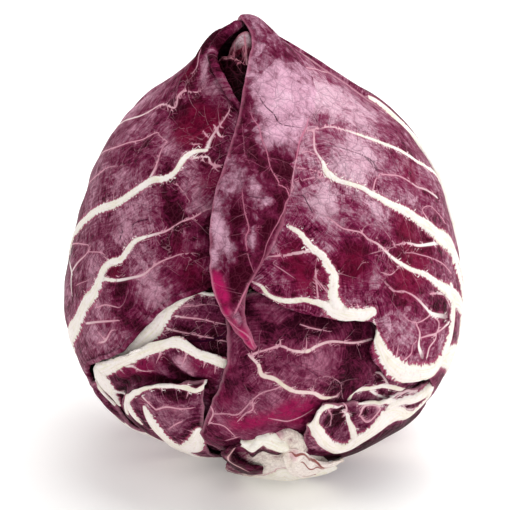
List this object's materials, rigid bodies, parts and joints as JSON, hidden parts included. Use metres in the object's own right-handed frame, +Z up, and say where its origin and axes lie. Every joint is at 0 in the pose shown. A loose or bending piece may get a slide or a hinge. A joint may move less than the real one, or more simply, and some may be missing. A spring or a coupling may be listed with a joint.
{
  "type": "radicchio head",
  "caption": "Head of round red radicchio with wrapped leaves, a folded-over lapel leaf, waved lower leaves and a trimmed root that it stands on.",
  "frame": {"origin": "middle of the flat cut face of the root, on the surface that the head stands on", "axes": "+Z up through the head's tip, -Y out of the front with the lapel leaf, +X to the right seen from the front"},
  "size_m": [0.1198, 0.1252, 0.1379],
  "materials": {
    "wrapper_leaf": "satin burgundy blade with white ribs and fine paler veins",
    "lower_leaf": "satin purple blade with broad white ribs",
    "pale_leaf": "matt cream, drying and crumpled",
    "inner_leaf": "satin dark crimson",
    "root": "matt cut root, browned by air"
  },
  "bodies": {
    "root": {"root": "root", "heart": "inner_leaf", "leaf_left": "wrapper_leaf", "leaf_right": "wrapper_leaf", "leaf_centre": "wrapper_leaf", "leaf_bottom": "pale_leaf", "leaf_low_left_band": "lower_leaf", "leaf_low_left_crest": "lower_leaf", "leaf_low_left_loop": "lower_leaf", "leaf_low_left_edge": "lower_leaf", "leaf_low_right_inner": "lower_leaf", "leaf_low_right_outer": "lower_leaf", "leaf_back": "wrapper_leaf", "leaf_back_low_left": "lower_leaf", "leaf_back_low_right": "lower_leaf"}
  },
  "joints": []
}
